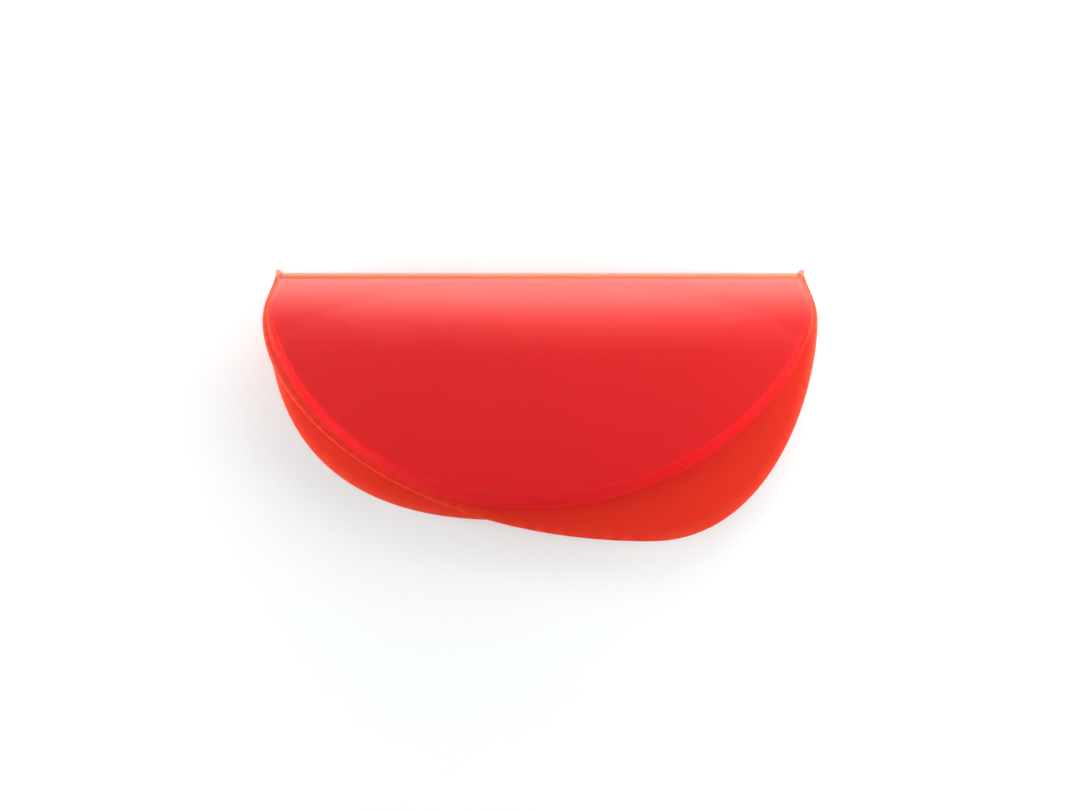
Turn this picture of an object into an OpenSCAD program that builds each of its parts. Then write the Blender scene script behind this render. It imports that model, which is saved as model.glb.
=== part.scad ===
// Folding silicone cooking pouch: two half-moon bowls with flat brims, joined along a straight
// living hinge so that one closes over the other. Shown closed, lying on its lower bowl.
//
// Each half is drawn in its own plan: x along the hinge, v from the hinge line towards the
// front, h from the mouth outwards. place_lower() and place_upper() set it in the model.

/* [Overall] */
// Length of the straight hinge edge, over both ears
spine_l = 219; // [160:1:270]
// How far a brim bulges past each end of the hinge edge
brim_bulge = 5.5; // [4:0.5:10]
// Distance from the hinge line to where the upper brim is widest
widest_at = 19; // [15:1:28]
// Depth of one half, from its mouth to the outside of its floor
half_depth = 18; // [12:0.5:26]

/* [Bowls] */
// Distance from the hinge line to the front foot of a bowl wall
bowl_reach = 97; // [75:1:125]
// Thickness of the silicone in the bowls
wall = 1.6; // [1.2:0.1:2.4]
// How far the front wall slopes in between its foot and the floor
front_slope = 5.6; // [4:0.2:9]
// How far the side walls slope in between foot and floor
side_slope = 1; // [0.6:0.2:3]
// Length of the rounded back of a bowl, from the hinge ledge to the flat floor
back_slope = 26; // [18:1:34]
// How far the front of a bowl leans away from its grip tab
bowl_lean = 4; // [0:0.5:6]
// Distance from the hinge line over which the bowl's ends draw in towards the hinge
shoulder_l = 24; // [16:1:30]

/* [Brims and grip tabs] */
// Thickness of both brims
brim_t = 1.8; // [1.2:0.1:2.6]
// Width of brim left beside the bowl at each end
end_brim = 0.5; // [0.3:0.1:1.5]
// How far the upper grip tab reaches past the bowl
upper_grip = 13.8; // [10:0.2:22]
// How far the lower grip tab reaches past the bowl
lower_grip = 5; // [4.6:0.2:8]
// How much narrower the lower brim is at each side than the upper one
lower_tuck = 2; // [0:0.5:2]
// Brim kept between a bowl and the root of its grip tab
tab_root = 3; // [2:0.5:5]

/* [Hinge] */
// Thickness of the hinge web
web_t = 0.9; // [0.6:0.1:1.4]
// Distance between the web's two fold lines
fold_gap = 3; // [2.4:0.2:5]
// Gap between the hinge web and each brim
hinge_clear = 0.3; // [0.2:0.1:0.6]
// Gap between the two mouths when the pouch is closed
mouth_gap = 0.3; // [0.2:0.1:0.8]
// Width of the flat ledge between the hinge and the back of a bowl
ledge = 1.5; // [1:0.1:3]
// Length of an ear along the hinge
ear_l = 3.4; // [2.4:0.2:6]
// How far an ear stands out behind the hinge line
ear_proud = 1.9; // [1.4:0.1:3]
// Width of an ear's blunt tip
ear_tip = 1.6; // [1:0.2:2.2]

/* [Hidden] */

// Silicone over the hollow looks deep red; a single layer lets more light through.
deep_red = [0.84, 0.13, 0.14];
thin_red = [0.90, 0.24, 0.16];
hinge_red = [0.95, 0.42, 0.32];

// Plan of the brims.
spine_half = spine_l / 2;
brim_half_w = spine_half + brim_bulge;
brim_back = web_t / 2 + hinge_clear;
upper_reach = bowl_reach + upper_grip;
lower_reach = bowl_reach + lower_grip;
lower_widest_at = widest_at - 5;
// Each brim's front crest lies this share of its half width to the right of the middle.
upper_crest = 0.4;
lower_crest = -0.14;
// How full a brim's left and right sides are: curve handles at the side and at the crest, as
// shares of the curve's run.
upper_fullness = [[0.425, 0.62], [0.327, 0.725]];
lower_fullness = [[0.522, 0.784], [0.622, 0.651]];
// A brim's plan: half width, where it is widest, front reach, crest and fullness.
upper_plan = [brim_half_w, widest_at, upper_reach, upper_crest, upper_fullness];
lower_plan = [brim_half_w - lower_tuck, lower_widest_at, lower_reach, lower_crest, lower_fullness];
// Curve from the hinge's end out to the widest place: its handles, as shares of the distance
// between the two, and how far the first one leans out, as a share of the bulge.
end_rise = 0.3;
end_turn = 0.41;
end_flare = 0.24;
// Direction of each grip tab from the middle of the hinge, anticlockwise from +x towards +v.
upper_tab_angle = 63;
lower_tab_angle = 127;

// Plan of the bowls.
foot_half_w = brim_half_w - end_brim;
bowl_back = brim_back + ledge;
// The foot's half width shrinks by this share where it meets the hinge line.
foot_corner_inset = 2.3;
draw_in = 1 - (spine_half - foot_corner_inset) / foot_half_w;
shoulder_power = 1.5;
// The flat floor starts just inside both faces of the wall.
floor_step = 0.4;
floor_half_w = foot_half_w - wall - side_slope - floor_step;
floor_reach = bowl_reach - front_slope - floor_step;
floor_back = bowl_back + back_slope + floor_step;
// Share of the floor's back edge that takes the stations of each bowl corner.
corner_share = 0.12;

// Placing.
fold_y = (upper_reach - ear_proud) / 2;
mid_z = half_depth + mouth_gap / 2;

// Sampling of the curves.
side_stations = 56;
back_stations = 16;
wall_rings = 8;
curve_points = 14;
// How strongly the stations crowd towards the corners: 0 spaces them evenly, 1 is the most.
crowding = 0.65;
fold_facets = 32;
far_side = 2 * upper_reach;

// Points of a cubic curve, without its last one.
function curve(a, b, c, d) =
    [for (i = [0:curve_points - 1]) let (t = i / curve_points, s = 1 - t)
        s * s * s * a + 3 * s * s * t * b + 3 * s * t * t * c + t * t * t * d];

// Closed outline of a brim, from the left end of the hinge round the front to the right end.
function brim_outline(plan) =
    let (w = plan[0], wide_v = plan[1], reach = plan[2], crest = plan[3] * w,
         left = plan[4][0], right = plan[4][1], side_run = reach - wide_v,
         end_run = wide_v - brim_back, turn = end_turn * end_run, rise = end_rise * end_run,
         flare = end_flare * (w - spine_half))
    concat(
        curve([-spine_half, brim_back], [-spine_half - flare, brim_back + rise],
              [-w, wide_v - turn], [-w, wide_v]),
        curve([-w, wide_v], [-w, wide_v + left[0] * side_run],
              [crest - left[1] * (crest + w), reach], [crest, reach]),
        curve([crest, reach], [crest + right[1] * (w - crest), reach],
              [w, wide_v + right[0] * side_run], [w, wide_v]),
        curve([w, wide_v], [w, wide_v - turn],
              [spine_half + flare, brim_back + rise], [spine_half, brim_back]),
        [[spine_half, brim_back]]);

// Angles of the bowl stations between t0 and 180 - t0, closest together at the two ends.
function station_angles(t0) =
    [for (i = [0:side_stations]) let (turn = 360 * i / side_stations)
        t0 + (180 - 2 * t0) * (turn - crowding * sin(turn) * 180 / PI) / 360];

// Share of the full half width that a bowl has at distance v from the hinge line.
function shoulder(v) = 1 - draw_in * pow(max(0, 1 - v / shoulder_l), shoulder_power);

// Point of a bowl's plan at angle t, from 0 at the right end to 180 at the left end.
function bowl_point(half_w, reach, t, lean) =
    let (v = reach * sin(t))
    [half_w * cos(t) * shoulder(v) + lean * sin(t) * sin(t), v];

// Closed loop of the bowl's foot, set in by a distance: right end, front, left end, back.
function foot_loop(inset, lean) =
    let (half_w = foot_half_w - inset, reach = bowl_reach - inset, back = bowl_back + inset,
         t0 = asin(back / reach), corner = bowl_point(half_w, reach, t0, lean)[0],
         left = bowl_point(half_w, reach, 180 - t0, lean)[0])
    concat(
        [for (t = station_angles(t0)) bowl_point(half_w, reach, t, lean)],
        [for (i = [1:back_stations - 1])
            [left + (corner - left) * i / back_stations, back]]);

// Closed loop round the flat floor, with one point for each point of the foot loop.
function floor_loop(lean) =
    let (t0 = asin(bowl_back / bowl_reach), tc = asin(floor_back / floor_reach),
         right = bowl_point(floor_half_w, floor_reach, tc, lean)[0],
         left = bowl_point(floor_half_w, floor_reach, 180 - tc, lean)[0],
         span = right - left)
    concat(
        [for (t = station_angles(t0))
            let (p = bowl_point(floor_half_w, floor_reach, t, lean),
                 short = max(0, 1 - p[1] / floor_back) * corner_share * span)
            p[1] >= floor_back ? p : [t < 90 ? right - short : left + short, floor_back]],
        [for (i = [1:back_stations - 1])
            [left + span * (corner_share + (1 - 2 * corner_share) * i / back_stations),
             floor_back]]);

// Size of the ellipse through a point, as a share of the one with the given size.
function ellipse_share(p, half_w, reach, lean) =
    norm([(p[0] - lean * pow(p[1] / reach, 2)) / (half_w * shoulder(p[1])), p[1] / reach]);

function rounded(u) = sqrt(1 - pow(1 - min(max(u, 0), 1), 2));

// Height of a bowl's face above the mouth: a rounded wall all round, lower towards the hinge.
// inset is 0 for the outside and the wall's thickness for the inside.
function bowl_height(p, inset, lean) =
    let (half_w = foot_half_w - inset, reach = bowl_reach - inset,
         top_half_w = half_w - (inset > 0 ? side_slope / 2 : side_slope),
         foot = ellipse_share(p, half_w, reach, lean),
         top = ellipse_share(p, top_half_w, bowl_reach - front_slope, lean),
         side = foot >= 1 ? 0 : top <= 1 ? 1 : (1 - foot) / (top - foot),
         back = (p[1] - bowl_back - inset) / (back_slope - inset))
    brim_t + (half_depth - brim_t - inset) * rounded(side) * rounded(back);

// One face of the wall as rings of points, from its foot to the floor.
function wall_face(inset, lean) =
    let (foot = foot_loop(inset, lean), inner = floor_loop(lean))
    [for (j = [0:wall_rings]) let (share = 1 - cos(90 * j / wall_rings))
        for (i = [0:len(foot) - 1])
            let (p = foot[i] + (inner[i] - foot[i]) * share,
                 h = j == 0 ? brim_t : j == wall_rings ? half_depth - inset
                     : bowl_height(p, inset, lean))
            [p[0], p[1], h]];

// The curved wall of one bowl, from the brim to the floor.
module bowl_wall(lean) {
    loop_n = side_stations + back_stations;
    face_n = loop_n * (wall_rings + 1);
    quad = function (a, b, c, d) [[a, b, c], [a, c, d]];
    polyhedron(
        points = concat(wall_face(0, lean), wall_face(wall, lean)),
        faces = [
            for (i = [0:loop_n - 1]) let (n = (i + 1) % loop_n) each concat(
                [for (j = [0:wall_rings - 1]) let (lo = j * loop_n, hi = lo + loop_n) each concat(
                    quad(lo + i, hi + i, hi + n, lo + n),
                    quad(face_n + lo + n, face_n + hi + n, face_n + hi + i, face_n + lo + i))],
                quad(face_n + i, i, n, face_n + n),
                let (top = wall_rings * loop_n)
                    quad(top + i, face_n + top + i, face_n + top + n, top + n))
        ],
        convexity = 6);
}

// The flat middle of one bowl.
module bowl_floor(lean)
    translate([0, 0, half_depth - wall])
        linear_extrude(wall)
            polygon(floor_loop(lean));

// Everything past the root line of a grip tab.
module tab_side(angle)
    rotate(angle)
        translate([norm([foot_half_w * cos(angle), bowl_reach * sin(angle)]) + tab_root, -far_side])
            square([far_side, 2 * far_side]);

// The flat brim round a bowl's mouth, up to the root of its grip tab.
module brim(plan, lean, tab_angle)
    linear_extrude(brim_t)
        difference() {
            polygon(brim_outline(plan));
            polygon(foot_loop(wall, lean));
            tab_side(tab_angle);
        }

module grip_tab(plan, tab_angle)
    linear_extrude(brim_t)
        intersection() {
            polygon(brim_outline(plan));
            tab_side(tab_angle);
        }

module place_lower()
    translate([0, fold_y, half_depth])
        rotate([180, 0, 0])
            children();

module place_upper()
    translate([0, fold_y, half_depth + mouth_gap])
        mirror([0, 1, 0])
            children();

// A strip of the hinge between two places along it, with a round fold at each edge.
module hinge_strip(from_x, to_x)
    translate([from_x, fold_y, mid_z]) {
        translate([0, -web_t / 2, -fold_gap / 2])
            cube([to_x - from_x, web_t, fold_gap]);
        for (side = [-1, 1])
            translate([0, 0, side * fold_gap / 2])
                rotate([0, 90, 0])
                    cylinder(h = to_x - from_x, d = web_t, $fn = fold_facets);
    }

// One ear: the end of the hinge strip with a blunt fin behind it, at the +x end.
module hinge_ear() {
    hinge_strip(spine_half - ear_l, spine_half);
    translate([spine_half, fold_y, mid_z])
        intersection() {
            translate([0, 0, -fold_gap])
                linear_extrude(2 * fold_gap)
                    polygon([[0, 0], [0, ear_proud], [-ear_tip, ear_proud], [-ear_l, 0]]);
            rotate([90, 0, -90])
                linear_extrude(ear_l)
                    polygon([[0, -fold_gap / 2], [-ear_proud, -fold_gap / 6],
                             [-ear_proud, fold_gap / 6], [0, fold_gap / 2]]);
        }
}

module lower_floor() color(deep_red) place_lower() bowl_floor(bowl_lean);
module lower_wall() color(deep_red) place_lower() bowl_wall(bowl_lean);
module lower_brim() color(thin_red) place_lower() brim(lower_plan, bowl_lean, lower_tab_angle);
module lower_grip_tab() color(thin_red) place_lower() grip_tab(lower_plan, lower_tab_angle);

module hinge_web() color(hinge_red) hinge_strip(-spine_half + ear_l, spine_half - ear_l);
module hinge_ear_left() color(hinge_red) mirror([1, 0, 0]) hinge_ear();
module hinge_ear_right() color(hinge_red) hinge_ear();

module upper_panel() color(deep_red) place_upper() bowl_floor(-bowl_lean);
module upper_wall() color(deep_red) place_upper() bowl_wall(-bowl_lean);
module upper_brim() color(thin_red) place_upper() brim(upper_plan, -bowl_lean, upper_tab_angle);
module upper_grip_tab() color(thin_red) place_upper() grip_tab(upper_plan, upper_tab_angle);

lower_floor();
lower_wall();
lower_brim();
lower_grip_tab();
hinge_web();
hinge_ear_left();
hinge_ear_right();
upper_panel();
upper_wall();
upper_brim();
upper_grip_tab();
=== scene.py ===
"""Folding silicone cooking pouch: two half-moon bowls moulded in one with their brims,
grip tabs and the thin web that hinges them. Lengths are in metres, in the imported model's frame."""
import math

import bmesh
import bpy
import numpy as np
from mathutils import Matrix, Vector


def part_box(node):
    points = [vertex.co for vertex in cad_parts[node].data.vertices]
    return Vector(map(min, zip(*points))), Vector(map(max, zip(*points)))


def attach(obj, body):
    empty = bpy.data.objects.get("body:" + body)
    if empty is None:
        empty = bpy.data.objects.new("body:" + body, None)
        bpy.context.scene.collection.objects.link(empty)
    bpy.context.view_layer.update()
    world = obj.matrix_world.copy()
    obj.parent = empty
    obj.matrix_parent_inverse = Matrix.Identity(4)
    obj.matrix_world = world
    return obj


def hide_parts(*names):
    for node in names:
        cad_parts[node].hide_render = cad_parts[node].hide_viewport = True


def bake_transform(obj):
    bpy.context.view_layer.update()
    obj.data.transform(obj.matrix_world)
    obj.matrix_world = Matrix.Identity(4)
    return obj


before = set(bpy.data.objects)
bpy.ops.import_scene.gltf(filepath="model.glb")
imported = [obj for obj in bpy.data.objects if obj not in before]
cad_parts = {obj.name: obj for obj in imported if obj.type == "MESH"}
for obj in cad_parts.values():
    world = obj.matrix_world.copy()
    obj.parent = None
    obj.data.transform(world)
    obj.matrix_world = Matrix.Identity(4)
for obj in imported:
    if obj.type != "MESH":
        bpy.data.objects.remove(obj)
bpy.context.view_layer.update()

MM = 0.001

# ---------------------------------------------------------------- sizes read from the frame

web_low, web_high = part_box("hinge_web")
ear_low, ear_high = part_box("hinge_ear_right")
brim_low, brim_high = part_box("upper_brim")
tab_low, tab_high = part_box("upper_grip_tab")
wall_low, wall_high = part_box("upper_wall")
panel_low, panel_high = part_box("upper_panel")
lower_brim_low, lower_brim_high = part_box("lower_brim")

FOLD_Y = (web_low.y + web_high.y) / 2
WEB_T = web_high.y - web_low.y
MIDDLE_Z = (web_low.z + web_high.z) / 2
FOLD_GAP = web_high.z - web_low.z - WEB_T
LOWER_MOUTH_Z = lower_brim_high.z
UPPER_MOUTH_Z = brim_low.z
SPINE_HALF = ear_high.x
EAR_LENGTH = ear_high.x - ear_low.x

BRIM_T = brim_high.z - brim_low.z
BRIM_HALF_W = brim_high.x
BRIM_BACK = FOLD_Y - brim_high.y
UPPER_REACH = FOLD_Y - tab_low.y
LOWER_HALF_W = lower_brim_high.x

BOWL_DEPTH = panel_high.z - brim_low.z
WALL = panel_high.z - panel_low.z
BOWL_REACH = FOLD_Y - wall_low.y
LEDGE_COVER = 0.2 * MM    # how much of the ledge beside the hinge a bowl's rounded foot covers
BOWL_BACK = FOLD_Y - wall_high.y - LEDGE_COVER
LOWER_GRIP = 5 * MM       # how far the lower brim reaches past its bowl
LOWER_REACH = BOWL_REACH + LOWER_GRIP
# The flat floor starts this far inside the end of each slope.
FLOOR_STEP = 0.4 * MM
BACK_SLOPE = FOLD_Y - panel_high.y - BOWL_BACK - FLOOR_STEP
END_BRIM = 0.5 * MM
FOOT_HALF_W = BRIM_HALF_W - END_BRIM
FOOT_CORNER_INSET = 1.3 * MM   # how much further in a foot lies at the ends of the hinge
CORNER_RUN = 8 * MM            # and how far from the hinge that has gone
FOOT_IN = 1.6 * MM        # how far the middle of the fillet lies inside a bowl's foot
FOOT_IN_BY = 60 * MM      # and how far from the hinge it has come in by that much
FRONT_SLOPE = 5.2 * MM    # how far a bowl's wall slopes in at the front and at the ends
SIDE_SLOPE = 1.3 * MM
SLOPE_POWER = 1.7         # how evenly the wall slopes: 1 is straight, 2 is round
BACK_EASE = 9 * MM        # how far the back slope runs on into the panel
BACK_RUN = BACK_SLOPE + BACK_EASE
BACK_POWER = 2.5
INNER_SIDE_SHARE = 0.8    # how far an inner face's rim lies inside the outer one's, in wall thicknesses
INNER_FRONT_SHARE = 0.6
SHOULDER = 24 * MM
BOWL_LEAN = 4 * MM
UPPER_WIDEST_AT = 19 * MM
LOWER_WIDEST_AT = 14 * MM

# ---------------------------------------------------------------- shape of the mouldings

CROWN = 2.2 * MM          # how much higher the middle of a panel is than its rim
CROWN_MIDDLE_V = 54 * MM
CROWN_HALF_V = 46 * MM
CROWN_HALF_X = 112 * MM
CROWN_LIMIT = 1.3
EDGE_ROUND = 0.75 * MM    # rounding of a brim's outer edge, across and in height
EDGE_RISE = 0.7 * MM
EDGE_SHARE = 0.35         # the most of a narrow brim that its rounded edge takes
FILLET_SHARE = 0.7        # the most of the rest that the fillet takes
QUARTER = np.radians([90, 67.5, 45, 22.5, 0])
FOOT_FILLET = 2.6 * MM    # fillet between a brim and its bowl
BACK_FILLET = 0.3 * MM
LIP_ROUND = 0.6 * MM      # rounding of a mouth's inner edge
UPPER_SAG = 1.4 * MM      # how far the upper tab sinks under its own weight, and over what length
UPPER_SAG_RUN = 18 * MM
LOWER_SAG = 4.0 * MM
LOWER_SAG_RUN = 12 * MM
SAG_LIMIT = 1.4
SAG_POWER = 1.6
SAG_START = 0.5
THIN_GLOW_START = 0.15         # how much of the brim's painted glow colour a bowl's foot has already
THIN_GLOW_RUN = 7 * MM         # distance past a bowl's foot over which the colour turns to the brim's painted glow, as if light shone through the single layer
EDGE_GLOW_RUN = 4.5 * MM       # width of the lighter band of painted glow along a brim's edge
TRUE_FROM = 0.03          # share of the way in from the foot from which a face's own normals are used
EDGE_GLOW_FADE = 0.6           # how much of that band is lost towards the front
LEDGE_GLOW_RUN = 3 * MM        # width of the lighter band of painted glow along the ledge beside the hinge
MERGE = 0.01 * MM
FINE_MERGE = 0.001 * MM
SPINE_STATIONS = 150      # stations along the hinge, and as many round the front
HEART_HALF = 85 * MM      # the arch in the middle of a panel on which its rings close
HEART_V = 50 * MM
HEART_DROP = 32 * MM
HEART_POWER = 1.75


def cubic(a, b, c, d, count=120):
    t = np.linspace(0, 1, count, endpoint=False)[:, None]
    s = 1 - t
    a, b, c, d = (np.array(p, float) for p in (a, b, c, d))
    return s**3 * a + 3 * s * s * t * b + 3 * s * t * t * c + t**3 * d


# Curve from the hinge's end out to where a brim is widest: its handles, as shares of the distance
# between the two, and how far the first one leans out, as a share of the bulge.
END_RISE = 0.3
END_TURN = 0.41
END_FLARE = 0.24


def brim_outline(half_w, widest_at, reach, crest_share, left_fullness, right_fullness):
    """Outline of a brim in its own plan, from the left end of the hinge round the front."""
    crest = crest_share * half_w
    side_run = reach - widest_at
    right_end = end_curve(half_w, widest_at)
    left_end = np.vstack([[[SPINE_HALF, BRIM_BACK]], right_end[:0:-1]]) * [-1, 1]
    left = cubic(
        (-half_w, widest_at),
        (-half_w, widest_at + left_fullness[0] * side_run),
        (crest - left_fullness[1] * (crest + half_w), reach),
        (crest, reach),
    )
    right = cubic(
        (crest, reach),
        (crest + right_fullness[1] * (half_w - crest), reach),
        (half_w, widest_at + right_fullness[0] * side_run),
        (half_w, widest_at),
    )
    return np.concatenate([left_end, left, right, right_end, [[SPINE_HALF, BRIM_BACK]]])


def end_curve(half_w, widest_at):
    """Curve of a brim's right end, from its widest point in to the end of the hinge."""
    end_run = widest_at - BRIM_BACK
    first = (SPINE_HALF + END_FLARE * (half_w - SPINE_HALF), BRIM_BACK + END_RISE * end_run)
    last_v = widest_at - END_TURN * end_run
    return cubic((half_w, widest_at), (half_w, last_v), first, (SPINE_HALF, BRIM_BACK))


def shoulder(v):
    """Share of its full half width that a bowl has at a distance v from the hinge line: it follows
    the end of the upper brim, and draws in a little more at the very corner."""
    end = np.vstack([end_curve(BRIM_HALF_W, UPPER_WIDEST_AT), [[SPINE_HALF, BRIM_BACK]]])[::-1]
    drawn_in = FOOT_CORNER_INSET * (1 - eased(v / CORNER_RUN))
    return (np.interp(v, end[:, 1], end[:, 0]) - drawn_in) / BRIM_HALF_W


def station_angles(back_share):
    """Angles round the front half of a loop, closest together at the two corners."""
    start = math.asin(back_share)
    turn = np.linspace(0, 2 * math.pi, SPINE_STATIONS + 1)
    return start + (math.pi - 2 * start) * (turn - 0.5 * np.sin(turn)) / (2 * math.pi)


def foot_inset(v):
    """How far a foot lies inside the outline that its bowl is measured to: nothing at the hinge."""
    return FOOT_IN * eased(v / FOOT_IN_BY)


def foot_loop(inset, lean):
    """Closed plan loop of a bowl's foot: right end, front, left end, then back along the hinge."""
    reach, back = BOWL_REACH - FOOT_IN - inset, BOWL_BACK + inset
    angle = station_angles(back / reach)
    v = reach * np.sin(angle)
    half_w = FOOT_HALF_W - inset - foot_inset(v)
    x = half_w * np.cos(angle) * shoulder(v) + lean * np.sin(angle) ** 2
    round_front = np.stack([x, v], 1)
    along = np.cos(angle[-2:0:-1]) / math.cos(angle[0])
    middle, half = (x[0] + x[-1]) / 2, (x[0] - x[-1]) / 2
    along_back = np.stack([middle + half * along, np.full(len(along), back)], 1)
    return np.concatenate([round_front, along_back])


def heart_line():
    """The arch in the middle of a panel on which its rings close: a point for each of a foot loop."""
    angle = station_angles(BOWL_BACK / BOWL_REACH)
    along = np.cos(np.concatenate([angle, angle[-2:0:-1]]))
    return np.stack([HEART_HALF * along, HEART_V - HEART_DROP * np.abs(along) ** HEART_POWER], 1)


def outward(loop):
    """Outward normals of the foot loop: square to its curve, and straight back along the hinge."""
    front = loop[: SPINE_STATIONS + 1]
    along = np.gradient(front, axis=0)
    normal = np.stack([along[:, 1], -along[:, 0]], 1)
    normal /= np.linalg.norm(normal, axis=1)[:, None]
    back = np.tile([0.0, -1.0], (SPINE_STATIONS - 1, 1))
    return np.concatenate([normal, back])


def cross_2d(a, b):
    return a[..., 0] * b[..., 1] - a[..., 1] * b[..., 0]


def reach_outline(points, normals, outline):
    """Where each point's normal meets the outline."""
    start, step = outline[:-1], outline[1:] - outline[:-1]
    found = []
    for p, n in zip(points, normals):
        across = cross_2d(n, step)
        across = np.where(np.abs(across) < 1e-15, 1e-15, across)
        far = cross_2d(start - p, step) / across
        share = cross_2d(start - p, n) / across
        hits = far[(share >= -1e-6) & (share <= 1 + 1e-6) & (far > 0)]
        found.append(p + n * hits.min() if len(hits) else p + n * MM)
    return np.array(found)


def eased(value):
    value = np.clip(value, 0, 1)
    return value * value * (3 - 2 * value)


def ellipse_share(p, half_w, reach, lean):
    x = (p[:, 0] - lean * (p[:, 1] / reach) ** 2) / (half_w * shoulder(p[:, 1]))
    return np.hypot(x, p[:, 1] / reach)


def bowl_rise(p, inset, lean):
    """Share of its full rise that a bowl's face has at each plan point."""
    half_w, reach = FOOT_HALF_W - foot_inset(p[:, 1]), BOWL_REACH - FOOT_IN
    foot = ellipse_share(p, half_w - inset, reach - inset, lean)
    top_half_w = half_w - SIDE_SLOPE - INNER_SIDE_SHARE * inset
    top_reach = reach - FRONT_SLOPE - INNER_FRONT_SHARE * inset
    top = ellipse_share(p, top_half_w, top_reach, lean)
    side = np.where(top <= 1, 1, (1 - foot) / np.maximum(top - foot, 1e-9))
    back = (p[:, 1] - BOWL_BACK - inset) / (BACK_RUN - inset)
    side_rise = 1 - (1 - np.clip(side, 0, 1)) ** SLOPE_POWER
    back_rise = 1 - (1 - np.clip(back, 0, 1)) ** BACK_POWER
    return side_rise * back_rise


def crown_drop(p):
    """How far a panel has fallen from its middle at each plan point."""
    away = (p[:, 0] / CROWN_HALF_X) ** 2 + ((p[:, 1] - CROWN_MIDDLE_V) / CROWN_HALF_V) ** 2
    return CROWN * np.minimum(away, CROWN_LIMIT)


def face_normals(face, plan, way):
    """Unit normals of a height field over the plan, up (1) or down (-1)."""
    step = 0.05 * MM
    across = (face(plan + [step, 0]) - face(plan - [step, 0])) / (2 * step)
    ahead = (face(plan + [0, step]) - face(plan - [0, step])) / (2 * step)
    normal = way * np.stack([-across, -ahead, np.ones(len(plan))], 1)
    return normal / np.linalg.norm(normal, axis=1)[:, None]


def ring_shares():
    """How far each ring is from the foot to the panel's middle line, closest at the foot."""
    near_foot = [0.002, 0.005, 0.009, 0.014, 0.02, 0.028, 0.037, 0.048, 0.06, 0.073, 0.087, 0.102, 0.12]
    return near_foot + list(np.linspace(0.145, 1, 24))


def half_rings(outline, lean):
    """Rings of (x, v, h) points over a whole half, from the middle of its outer face over the
    brim's edge to the middle of its inner face, and a normal for each, zero where none is set."""
    foot, inner_foot = foot_loop(0, lean), foot_loop(WALL, lean)
    normal = outward(foot)
    rim = reach_outline(foot, normal, outline)
    last = SPINE_STATIONS
    rim[0], rim[last] = outline[-1], outline[0]
    spread = np.linspace(rim[last, 0], rim[0, 0], last + 1)
    share = (foot[last + 1:, 0] - foot[last, 0]) / (foot[0, 0] - foot[last, 0])
    rim[last + 1:, 0] = spread[0] + (spread[-1] - spread[0]) * share
    rim[last + 1:, 1] = BRIM_BACK
    width = np.linalg.norm(foot - rim, axis=1)[:, None]
    inward = (foot - rim) / width
    edge = np.minimum(EDGE_ROUND, EDGE_SHARE * width)
    fillet = np.minimum(FOOT_FILLET, FILLET_SHARE * (width - edge))
    fillet[last + 1:] = np.minimum(BACK_FILLET, fillet[last + 1:])
    blend = eased(foot[: last + 1, 1] / SHOULDER)[:, None]
    fillet[: last + 1] = BACK_FILLET + (fillet[: last + 1] - BACK_FILLET) * blend
    heart = heart_line()
    rings, normals = [], []

    def add(plan, height, normal=0.0):
        height = np.broadcast_to(np.asarray(height, float).reshape(-1), (len(plan),))
        rings.append(np.column_stack([plan, height]))
        normals.append(np.broadcast_to(normal, (len(plan), 3)))

    def outer_face(plan):
        low = BRIM_T + fillet[:, 0]
        return low + (BOWL_DEPTH - low - crown_drop(plan)) * bowl_rise(plan, 0, lean)

    def inner_face(plan):
        depth = BOWL_DEPTH - WALL - LIP_ROUND - crown_drop(plan)
        return LIP_ROUND + depth * bowl_rise(plan, WALL, lean)

    for s in reversed(ring_shares()):
        plan = foot + (heart - foot) * s
        add(plan, outer_face(plan), face_normals(outer_face, plan, 1) if s > TRUE_FROM else 0.0)
    for a in QUARTER:
        add(foot - inward * fillet * (1 - math.sin(a)), BRIM_T + fillet * (1 - math.cos(a)))
    for s in (0.8, 0.6, 0.4, 0.2):
        add(rim + inward * (edge + (width - edge - fillet) * s), BRIM_T)
    for a in QUARTER:
        add(rim + inward * edge * (1 - math.cos(a)), BRIM_T - EDGE_RISE * (1 - math.sin(a)))
    for a in QUARTER[::-1]:
        add(rim + inward * edge * (1 - math.cos(a)), EDGE_RISE * (1 - math.sin(a)))
    lip = inner_foot - inward * LIP_ROUND
    flat_start = rim + inward * edge
    for s in (0.2, 0.4, 0.6, 0.8):
        add(flat_start + (lip - flat_start) * s, 0)
    for a in QUARTER[::-1]:
        add(inner_foot - inward * LIP_ROUND * (1 - math.sin(a)), LIP_ROUND * (1 - math.cos(a)))
    for s in ring_shares():
        plan = inner_foot + (heart - inner_foot) * s
        add(plan, inner_face(plan), face_normals(inner_face, plan, -1) if s > TRUE_FROM else 0.0)
    return np.concatenate(rings), np.concatenate(normals)


def half_faces(ring_count):
    """Quads between the rings. The first and last ring are single lines, so their points pair up."""
    loop = 2 * SPINE_STATIONS
    faces = []
    for j in range(ring_count - 1):
        for i in range(loop):
            n = (i + 1) % loop
            faces.append((j * loop + i, j * loop + n, (j + 1) * loop + n, (j + 1) * loop + i))
    return faces


def mesh_object(name, points, faces):
    mesh = bpy.data.meshes.new(name)
    mesh.from_pydata([tuple(p) for p in points], [], faces)
    mesh.validate()
    mesh.update()
    obj = bpy.data.objects.new(name, mesh)
    bpy.context.scene.collection.objects.link(obj)
    return obj


def merge_and_smooth(obj, distance):
    bm = bmesh.new()
    bm.from_mesh(obj.data)
    bmesh.ops.remove_doubles(bm, verts=bm.verts, dist=distance)
    bmesh.ops.dissolve_degenerate(bm, dist=distance, edges=bm.edges)
    bmesh.ops.recalc_face_normals(bm, faces=bm.faces)
    for f in bm.faces:
        f.smooth = True
    bm.to_mesh(obj.data)
    bm.free()
    obj.data.update()


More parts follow.
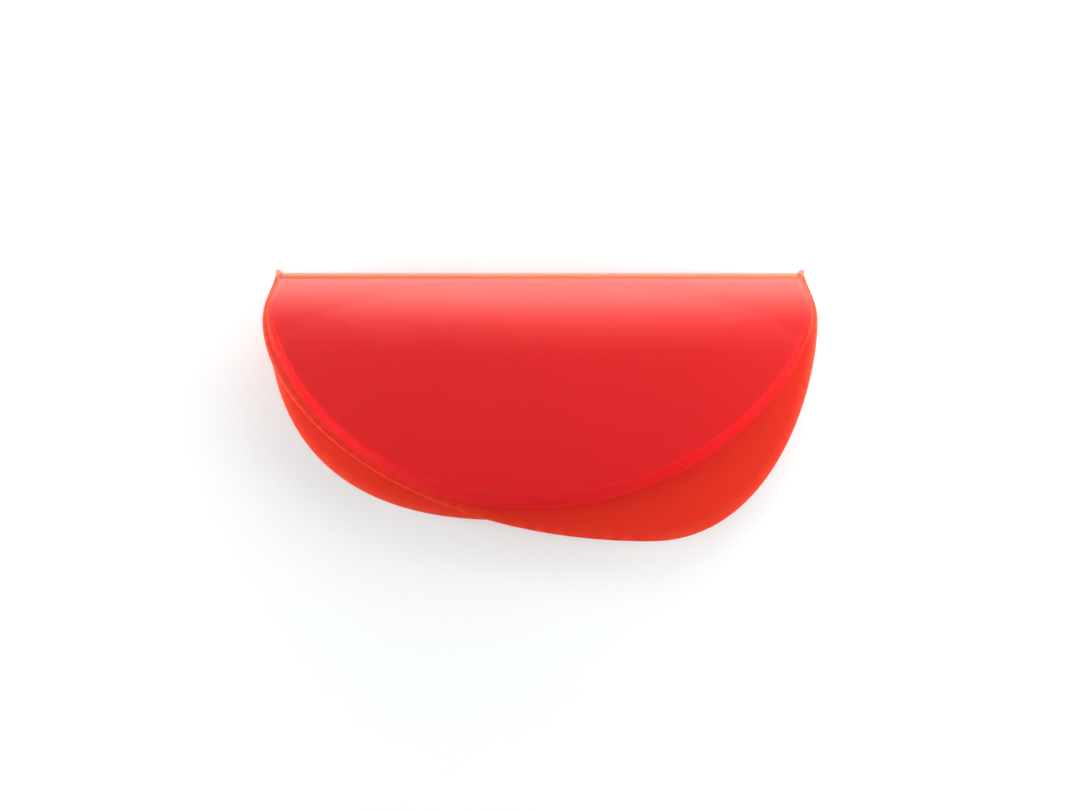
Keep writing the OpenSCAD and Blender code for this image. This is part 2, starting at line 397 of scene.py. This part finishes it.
def set_face_normals(obj):
    """Shades the bowl's faces with their own normals, kept through the merge, not the mesh's."""
    kept = obj.data.attributes["face_normal"]
    found = np.empty(3 * len(obj.data.vertices), np.float32)
    kept.data.foreach_get("vector", found)
    obj.data.attributes.remove(kept)
    obj.data.normals_split_custom_set_from_vertices(found.reshape(-1, 3).tolist())


def place(points, up):
    """From a half's plan (x, v, h) to the frame, for the upper half or the lower one."""
    x, v, h = np.asarray(points, float).T
    z = UPPER_MOUTH_Z + h if up else LOWER_MOUTH_Z - h
    return np.stack([x, FOLD_Y - v, z], 1)


def set_masks(obj, thin, rim):
    """Two masks over a moulding for its painted glow: where it is a single thin layer, painted more
    orange, and how near an edge it is, painted lighter.
    """
    for name, values in (("painted_thin_glow", thin), ("painted_edge_glow", rim)):
        layer = obj.data.attributes.new(name, "FLOAT", "POINT")
        layer.data.foreach_set("value", np.asarray(values, np.float32))


def past_foot(plan, lean):
    """Rough distance outside the foot of a bowl, negative inside it."""
    ahead = np.stack([plan[:, 0], np.maximum(plan[:, 1], 0)], 1)
    return (ellipse_share(ahead, FOOT_HALF_W - FOOT_IN, BOWL_REACH - FOOT_IN, lean) - 1) * BOWL_REACH


def sag(plan, lean, depth, run):
    """How far a soft brim has sunk at each plan point: more the further it reaches past its bowl."""
    reach = np.maximum(past_foot(plan, lean), 0) / run
    away_from_hinge = eased(plan[:, 1] / SHOULDER - SAG_START)
    return depth * np.minimum(reach, SAG_LIMIT) ** SAG_POWER * away_from_hinge


def make_half(name, up, outline, lean, nodes, body):
    points, normals = half_rings(outline, lean)
    depth, run = (UPPER_SAG, UPPER_SAG_RUN) if up else (LOWER_SAG, LOWER_SAG_RUN)
    points[:, 2] += sag(points, lean, depth, run) * (-1 if up else 1)
    obj = mesh_object(name, place(points, up), half_faces(len(points) // (2 * SPINE_STATIONS)))
    kept = obj.data.attributes.new("face_normal", "FLOAT_VECTOR", "POINT")
    kept.data.foreach_set("vector", (normals * [1, -1, 1 if up else -1]).astype(np.float32).ravel())
    merge_and_smooth(obj, MERGE)
    set_face_normals(obj)
    co = np.array([v.co for v in obj.data.vertices])
    plan = np.stack([co[:, 0], FOLD_Y - co[:, 1]], 1)
    # Painted glow: past a bowl's foot the single thin layer turns to the brim's more orange colour, as if
    # light shone through it.
    thin = eased(past_foot(plan, lean) / THIN_GLOW_RUN + THIN_GLOW_START)
    # Painted glow: a lighter band along the brim's edge, more at the ends than at the front, and along the
    # ledge beside the hinge.
    spacing = outline[:-1:4]
    gap = np.sqrt(((plan[:, None, :] - spacing[None]) ** 2).sum(2)).min(1)
    glow_at_ends = 1 - EDGE_GLOW_FADE * eased((plan[:, 1] - SHOULDER) / (2 * SHOULDER))
    rim = eased(1 - gap / EDGE_GLOW_RUN) * glow_at_ends
    ledge = eased(1 - (plan[:, 1] - BRIM_BACK) / LEDGE_GLOW_RUN)
    set_masks(obj, thin, np.maximum(rim, ledge))
    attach(obj, body)
    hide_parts(*nodes)
    return obj


# ---------------------------------------------------------------- the hinge

ARC = np.radians(np.arange(90, 181, 10))
BEAD_CREST = 1.5 * MM     # where the rounded bead along the hinge is highest
BEAD_PROUD = 0.05 * MM    # how far it stands above the ledge
BEAD_HEIGHT = 1.2 * MM    # height of its rounded back
WEB_ROOT = 2.05 * MM       # how far the root reaches in from the hinge line
WEB_SINK = 0.03 * MM      # how far the root's edge lies inside the brim
EAR_GLOW_SHARE = 0.6            # how much of the hinge's edge colour the small pieces at the hinge's ends take: a painted glow, lighter than the bowls but dimmer than the web


def web_section():
    """Closed section of half the web in (v, height above the middle of the hinge): from its root
    in the brim, round the fold, along the back, and home along the inner face."""
    r, axis = WEB_T / 2, FOLD_GAP / 2
    top = axis + r
    steps = axis * np.linspace(1, 0, 6)
    crest_z = top + BEAD_PROUD
    middle_z = crest_z - BEAD_HEIGHT
    front = WEB_ROOT - BEAD_CREST
    section = [(WEB_ROOT, top - WEB_SINK)]
    for s in (0.75, 0.5, 0.25):
        section.append((BEAD_CREST + front * s, crest_z - (BEAD_PROUD + WEB_SINK) * s * s))
    for a in ARC:
        section.append((BEAD_CREST + (BEAD_CREST + r) * math.cos(a), middle_z + BEAD_HEIGHT * math.sin(a)))
    section += [(-r, z) for z in steps if z < middle_z - 0.1 * MM]
    section += [(r, z) for z in steps[:0:-1]]
    section += [(r, axis - r), (BRIM_BACK, axis - r), (WEB_ROOT, axis - r)]
    return np.array(section)


def closed_solid(name, rings):
    """Solid skin over a row of closed rings with the same number of points, capped at both ends."""
    count = len(rings[0])
    faces = [tuple(range(count))[::-1]]
    for j in range(len(rings) - 1):
        for i in range(count):
            n = (i + 1) % count
            faces.append((j * count + i, j * count + n, (j + 1) * count + n, (j + 1) * count + i))
    faces.append(tuple(range((len(rings) - 1) * count, len(rings) * count)))
    return mesh_object(name, np.concatenate(rings), faces)


def make_web(name, up):
    section = web_section()
    side = 1 if up else -1
    length = SPINE_HALF - EAR_LENGTH / 2
    rings = []
    for x in np.linspace(-length, length, 80):
        along = np.full(len(section), x)
        rings.append(np.stack([along, FOLD_Y - section[:, 0], MIDDLE_Z + side * section[:, 1]], 1))
    obj = closed_solid(name, rings)
    merge_and_smooth(obj, FINE_MERGE)
    smooth_by_angle(obj, 40)
    # The web takes the hinge's painted glow colour all over.
    set_masks(obj, np.ones(len(obj.data.vertices)), np.zeros(len(obj.data.vertices)))
    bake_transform(obj)
    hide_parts("hinge_web")
    return obj


def rounded_ring(half_x, half_z, count=24, fullness=3.2):
    """Ring of (x, z) points half way between an ellipse and a rectangle."""
    turn = np.linspace(0, 2 * math.pi, count, endpoint=False)
    x = np.sign(np.cos(turn)) * np.abs(np.cos(turn)) ** (2 / fullness)
    z = np.sign(np.sin(turn)) * np.abs(np.sin(turn)) ** (2 / fullness)
    return np.stack([half_x * x, half_z * z], 1)


# Each row: distance behind the hinge line, inner side of the ear from its outer one, half height.
EAR_STATIONS = (
    (-0.55, 3.1, 1.5), (-0.5, 3.3, 1.8), (-0.35, 3.4, 1.93), (0.0, 3.4, 1.93), (0.3, 3.3, 1.85),
    (0.6, 3.0, 1.62), (0.9, 2.6, 1.4), (1.2, 2.25, 1.2), (1.5, 1.95, 0.98), (1.7, 1.72, 0.8),
    (1.82, 1.45, 0.62), (1.88, 1.05, 0.4),
)


def make_ear(name, side, node_name):
    rings = []
    for back, width, half_height in EAR_STATIONS:
        ring = rounded_ring(width * MM / 2, half_height * MM)
        x = side * (SPINE_HALF - 0.03 * MM - width * MM / 2) + ring[:, 0]
        rings.append(np.stack([x, np.full(len(ring), FOLD_Y + back * MM), MIDDLE_Z + ring[:, 1]], 1))
    obj = closed_solid(name, rings)
    merge_and_smooth(obj, FINE_MERGE)
    add_subsurf(obj, 2)
    # The ear takes part of the hinge's dimmer painted glow colour.
    set_masks(obj, np.ones(len(obj.data.vertices)), np.full(len(obj.data.vertices), EAR_GLOW_SHARE))
    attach(obj, "hinge")
    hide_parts(node_name)
    return obj


RIB_HALF_W = 0.55 * MM
RIB_HEIGHT = 0.5 * MM
RIB_FROM_END = 1.2 * MM


# Each row: distance from the hinge line, and the share of its full size that the rib has there.
RIB_STATIONS = (
    (-0.2, 0.2), (-0.1, 0.75), (0.2, 1), (1, 1), (2, 1), (2.7, 0.95), (3.1, 0.7), (3.3, 0.2),
)


def make_end_rib(name, side, up, body):
    """Low rib over the end of a ledge, in line with the ear's fin."""
    rings = []
    for v, share in RIB_STATIONS:
        ring = rounded_ring(RIB_HALF_W * (0.5 + share / 2), RIB_HEIGHT * share, 16, 2.4)
        x = side * (SPINE_HALF - RIB_FROM_END) + ring[:, 0]
        rings.append(np.stack([x, np.full(len(ring), v * MM), BRIM_T + ring[:, 1]], 1))
    points = [place(r, up) for r in rings]
    obj = closed_solid(name, points)
    merge_and_smooth(obj, FINE_MERGE)
    add_subsurf(obj, 1)
    # The rib takes part of the hinge's dimmer painted glow colour.
    set_masks(obj, np.ones(len(obj.data.vertices)), np.full(len(obj.data.vertices), EAR_GLOW_SHARE))
    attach(obj, body)
    return obj


def add_subsurf(obj, levels):
    modifier = obj.modifiers.new("smooth", "SUBSURF")
    modifier.levels = levels
    modifier.render_levels = levels


def smooth_by_angle(obj, degrees):
    """Keeps edges sharper than this angle sharp."""
    limit = math.radians(degrees)
    for edge, angle in edge_angles(obj):
        edge.use_edge_sharp = angle > limit


def edge_angles(obj):
    bm = bmesh.new()
    bm.from_mesh(obj.data)
    bm.edges.ensure_lookup_table()
    angles = [e.calc_face_angle(0) if len(e.link_faces) == 2 else 0 for e in bm.edges]
    bm.free()
    return zip(obj.data.edges, angles)


# ---------------------------------------------------------------- finishes

# BOWL_RED is the silicone's own colour. The other reds are painted glow: the same silicone drawn lighter
# and more orange where light would shine through the single thin brim, along its edges and the ledge, and
# through the hinge, with a dimmer glow for the ears and end ribs.
BOWL_RED = (0.72, 0.009, 0.014)
BRIM_GLOW_RED = (0.74, 0.028, 0.012)
BRIM_EDGE_GLOW_RED = (0.95, 0.16, 0.08)
HINGE_GLOW_RED = (0.97, 0.24, 0.14)
HINGE_EDGE_GLOW_RED = (0.85, 0.12, 0.06)
SATIN = 0.5
UNEVENNESS = 0.08
GRAIN_STRENGTH = 0.08
GRAIN_DEPTH = 0.05 * MM
GLOW_DEPTH = 4 * MM       # how deep light goes into the silicone

def node(tree, kind, **settings):
    made = tree.nodes.new(kind)
    for key, value in settings.items():
        setattr(made, key, value)
    return made


def silicone_surface_group():
    """Moulded silicone: its own colour with painted glow by layer and edge, and a fine satin grain."""
    tree = bpy.data.node_groups.new("silicone_surface", "ShaderNodeTree")
    for name, kind in (
        ("Bowl Colour", "NodeSocketColor"),
        ("Thin Glow Colour", "NodeSocketColor"),
        ("Edge Glow Colour", "NodeSocketColor"),
        ("Edge Glow Strength", "NodeSocketFloat"),
        ("Roughness", "NodeSocketFloat"),
        ("Unevenness", "NodeSocketFloat"),
    ):
        tree.interface.new_socket(name, in_out="INPUT", socket_type=kind)
    for name, kind in (
        ("Colour", "NodeSocketColor"),
        ("Roughness", "NodeSocketFloat"),
        ("Height", "NodeSocketFloat"),
    ):
        tree.interface.new_socket(name, in_out="OUTPUT", socket_type=kind)
    given = node(tree, "NodeGroupInput")
    result = node(tree, "NodeGroupOutput")
    link = tree.links.new

    thin = node(tree, "ShaderNodeAttribute", attribute_name="painted_thin_glow")
    edge = node(tree, "ShaderNodeAttribute", attribute_name="painted_edge_glow")
    place_ = node(tree, "ShaderNodeTexCoord")
    cloud = node(tree, "ShaderNodeTexNoise")
    cloud.inputs["Scale"].default_value = 22
    cloud.inputs["Detail"].default_value = 3
    grain = node(tree, "ShaderNodeTexNoise")
    grain.inputs["Scale"].default_value = 1400
    grain.inputs["Detail"].default_value = 2
    link(place_.outputs["Object"], cloud.inputs["Vector"])
    link(place_.outputs["Object"], grain.inputs["Vector"])

    # Painted glow: the single thin layer takes a more orange colour.
    by_layer = node(tree, "ShaderNodeMix", data_type="RGBA")
    link(thin.outputs["Fac"], by_layer.inputs[0])
    link(given.outputs["Bowl Colour"], by_layer.inputs[6])
    link(given.outputs["Thin Glow Colour"], by_layer.inputs[7])
    # Painted glow: edges and the ledge beside the hinge take a lighter colour.
    at_edge = node(tree, "ShaderNodeMath", operation="MULTIPLY")
    link(edge.outputs["Fac"], at_edge.inputs[0])
    link(given.outputs["Edge Glow Strength"], at_edge.inputs[1])
    by_edge = node(tree, "ShaderNodeMix", data_type="RGBA")
    link(at_edge.outputs[0], by_edge.inputs[0])
    link(by_layer.outputs[2], by_edge.inputs[6])
    link(given.outputs["Edge Glow Colour"], by_edge.inputs[7])
    shade = node(tree, "ShaderNodeMapRange")
    shade.inputs["To Min"].default_value = 0.97
    shade.inputs["To Max"].default_value = 1.03
    link(cloud.outputs["Fac"], shade.inputs["Value"])
    tone = node(tree, "ShaderNodeVectorMath", operation="SCALE")
    link(by_edge.outputs[2], tone.inputs[0])
    link(shade.outputs[0], tone.inputs["Scale"])
    link(tone.outputs[0], result.inputs["Colour"])

    uneven = node(tree, "ShaderNodeMath", operation="SUBTRACT")
    uneven.inputs[1].default_value = 0.5
    link(cloud.outputs["Fac"], uneven.inputs[0])
    gloss = node(tree, "ShaderNodeMath", operation="MULTIPLY_ADD")
    link(uneven.outputs[0], gloss.inputs[0])
    link(given.outputs["Unevenness"], gloss.inputs[1])
    link(given.outputs["Roughness"], gloss.inputs[2])
    link(gloss.outputs[0], result.inputs["Roughness"])
    link(grain.outputs["Fac"], result.inputs["Height"])
    return tree


def silicone(name, group, bowl, thin, edge, edge_glow_strength):
    """Satin red silicone that lets a little light through."""
    material = bpy.data.materials.new(name)
    material.use_nodes = True
    tree = material.node_tree
    shader = tree.nodes["Principled BSDF"]
    surface = node(tree, "ShaderNodeGroup", node_tree=group)
    surface.inputs["Bowl Colour"].default_value = (*bowl, 1)
    # The thin and edge colours are painted glow of light through thin silicone.
    surface.inputs["Thin Glow Colour"].default_value = (*thin, 1)
    surface.inputs["Edge Glow Colour"].default_value = (*edge, 1)
    surface.inputs["Edge Glow Strength"].default_value = edge_glow_strength
    surface.inputs["Roughness"].default_value = SATIN
    surface.inputs["Unevenness"].default_value = UNEVENNESS
    bump = node(tree, "ShaderNodeBump")
    bump.inputs["Strength"].default_value = GRAIN_STRENGTH
    bump.inputs["Distance"].default_value = GRAIN_DEPTH
    link = tree.links.new
    link(surface.outputs["Colour"], shader.inputs["Base Color"])
    link(surface.outputs["Roughness"], shader.inputs["Roughness"])
    link(surface.outputs["Height"], bump.inputs["Height"])
    link(bump.outputs["Normal"], shader.inputs["Normal"])
    shader.inputs["IOR"].default_value = 1.42
    shader.inputs["Specular IOR Level"].default_value = 0.8
    shader.inputs["Specular Tint"].default_value = (1, 1, 0.84, 1)
    shader.inputs["Subsurface Weight"].default_value = 0.45
    shader.inputs["Subsurface Radius"].default_value = (1.0, 0.2, 0.1)
    shader.inputs["Subsurface Scale"].default_value = GLOW_DEPTH
    return material


# ---------------------------------------------------------------- room, lamps and camera

# The floor's paint is a little blue-green, a painted counter to the red light the silicone throws onto it,
# so that its shadows stay grey.
FLOOR_PAINT = (0.65, 0.69, 0.685, 1)
FLOOR_GLOW = 0.32

# Softboxes that only show as shine in the silicone, then ones that only light it and the floor:
# name, place, width and height, watts.
SHINE = (
    ("shine_low_back", (0.0, 0.36, 0.05), (0.9, 0.10), 3.5),
    ("shine_high_back", (0.0, 0.7, 0.9), (0.6, 0.6), 0.3),
    ("shine_left", (-0.5, 0.2, 0.25), (0.4, 0.3), 1.9),
    ("shine_right", (0.5, 0.2, 0.25), (0.4, 0.3), 2.1),
)
LIGHT = (
    ("low_back_softbox", (0.1, 0.5, 0.15), (0.8, 0.2), 2.1),
    ("back_softbox", (0.25, 0.55, 0.45), (0.6, 0.5), 2.7),
    ("right_softbox", (0.6, 0.0, 0.2), (0.5, 0.3), 4.3),
    ("left_softbox", (-0.6, 0.0, 0.12), (0.5, 0.2), 3.9),
    ("high_left_softbox", (-0.6, 0.0, 0.7), (0.5, 0.5), 0.9),
    ("front_softbox", (0.0, -0.6, 0.15), (0.8, 0.3), 2.1),
    ("top_softbox", (0.0, 0.0, 1.2), (0.5, 0.5), 1.9),
)
LAMP_AIM = (0, 0, 0.02)

def pale_floor():
    size = 3.0
    floor = mesh_object(
        "floor",
        [(-size, -size, 0), (size, -size, 0), (size, size, 0), (-size, size, 0)],
        [(0, 1, 2, 3)],
    )
    floor.visible_glossy = False
    material = bpy.data.materials.new("pale_floor")
    material.use_nodes = True
    tree = material.node_tree
    tree.nodes.clear()
    link = tree.links.new
    paint = node(tree, "ShaderNodeBsdfDiffuse")
    paint.inputs["Color"].default_value = FLOOR_PAINT
    glow = node(tree, "ShaderNodeEmission")
    glow.inputs["Color"].default_value = (1, 1, 1, 1)
    seen = node(tree, "ShaderNodeLightPath")
    level = node(tree, "ShaderNodeMath", operation="MULTIPLY")
    level.inputs[1].default_value = FLOOR_GLOW
    both = node(tree, "ShaderNodeAddShader")
    clear = node(tree, "ShaderNodeBsdfTransparent")
    side = node(tree, "ShaderNodeNewGeometry")
    shown = node(tree, "ShaderNodeMixShader")
    out = node(tree, "ShaderNodeOutputMaterial")
    link(seen.outputs["Is Camera Ray"], level.inputs[0])
    link(level.outputs[0], glow.inputs["Strength"])
    link(paint.outputs[0], both.inputs[0])
    link(glow.outputs[0], both.inputs[1])
    link(side.outputs["Backfacing"], shown.inputs[0])
    link(both.outputs[0], shown.inputs[1])
    link(clear.outputs[0], shown.inputs[2])
    link(shown.outputs[0], out.inputs["Surface"])
    floor.data.materials.append(material)


def white_world():
    world = bpy.data.worlds.new("studio")
    bpy.context.scene.world = world
    world.use_nodes = True
    tree = world.node_tree
    tree.nodes.clear()
    link = tree.links.new
    seen = node(tree, "ShaderNodeLightPath")
    lit = node(tree, "ShaderNodeBackground")
    lit.inputs["Color"].default_value = (1, 1, 1, 1)
    lit.inputs["Strength"].default_value = 0.0
    backdrop = node(tree, "ShaderNodeBackground")
    backdrop.inputs["Color"].default_value = (1, 1, 1, 1)
    mix = node(tree, "ShaderNodeMixShader")
    out = node(tree, "ShaderNodeOutputWorld")
    link(seen.outputs["Is Camera Ray"], mix.inputs[0])
    link(lit.outputs[0], mix.inputs[1])
    link(backdrop.outputs[0], mix.inputs[2])
    link(mix.outputs[0], out.inputs["Surface"])


def lamp(name, place_at, size, power, shine):
    """Softbox aimed at the pouch, which either shows as shine in the silicone or lights it."""
    light = bpy.data.lights.new(name, "AREA")
    light.shape = "RECTANGLE"
    light.size, light.size_y = size
    light.energy = power
    obj = bpy.data.objects.new(name, light)
    bpy.context.scene.collection.objects.link(obj)
    obj.location = place_at
    obj.rotation_mode = "QUATERNION"
    obj.rotation_quaternion = (Vector(LAMP_AIM) - Vector(place_at)).to_track_quat("-Z", "Y")
    obj.visible_camera = False
    obj.visible_glossy = shine
    obj.visible_diffuse = not shine


def camera_above():
    """Looks straight down with the hinge at the top of the picture."""
    distance = 2.0
    picture_width = 0.4475
    data = bpy.data.cameras.new("camera")
    data.sensor_width = 36
    data.lens = 36 * (distance - MIDDLE_Z) / picture_width
    obj = bpy.data.objects.new("camera", data)
    bpy.context.scene.collection.objects.link(obj)
    obj.location = (0, 0, distance)
    data.clip_end = 20
    bpy.context.scene.camera = obj


def studio():
    pale_floor()
    white_world()
    for row in SHINE:
        lamp(*row, shine=True)
    for row in LIGHT:
        lamp(*row, shine=False)
    camera_above()
    settings = bpy.context.scene.view_settings
    settings.view_transform = "Standard"


# ---------------------------------------------------------------- build

UPPER_NODES = ("upper_panel", "upper_wall", "upper_brim", "upper_grip_tab")
LOWER_NODES = ("lower_floor", "lower_wall", "lower_brim", "lower_grip_tab")

# Where each brim's front is furthest out, as a share of its half width, and how full its left and
# right sides are.
UPPER_SHAPE = (0.4, (0.425, 0.62), (0.327, 0.725))
LOWER_SHAPE = (-0.14, (0.522, 0.784), (0.622, 0.651))

upper_outline = brim_outline(BRIM_HALF_W, UPPER_WIDEST_AT, UPPER_REACH, *UPPER_SHAPE)
lower_outline = brim_outline(LOWER_HALF_W, LOWER_WIDEST_AT, LOWER_REACH, *LOWER_SHAPE)
surface_group = silicone_surface_group()
# Red silicone: the bowls keep its own red, while the brims' thin layer and edges take painted glow.
red = silicone("red_silicone", surface_group, BOWL_RED, BRIM_GLOW_RED, BRIM_EDGE_GLOW_RED, 0.7)
# The hinge's pieces are the same silicone painted much lighter, a painted glow of light through the thin
# web; the ears and end ribs take a dimmer one.
painted_glow_hinge = silicone("hinge_silicone", surface_group, HINGE_GLOW_RED, HINGE_GLOW_RED, HINGE_EDGE_GLOW_RED, 0.5)

upper = make_half("upper_moulding", True, upper_outline, -BOWL_LEAN, UPPER_NODES, "upper_half")
lower = make_half("lower_moulding", False, lower_outline, BOWL_LEAN, LOWER_NODES, "lower_half")
pieces = [
    make_web("upper_hinge_web", True),
    make_web("lower_hinge_web", False),
    make_ear("left_ear", -1, "hinge_ear_left"),
    make_ear("right_ear", 1, "hinge_ear_right"),
]
for side, word in ((-1, "left"), (1, "right")):
    pieces.append(make_end_rib("upper_" + word + "_rib", side, True, "upper_half"))
    pieces.append(make_end_rib("lower_" + word + "_rib", side, False, "lower_half"))
for half in (upper, lower):
    half.data.materials.append(red)
for piece in pieces:
    piece.data.materials.append(painted_glow_hinge)

studio()
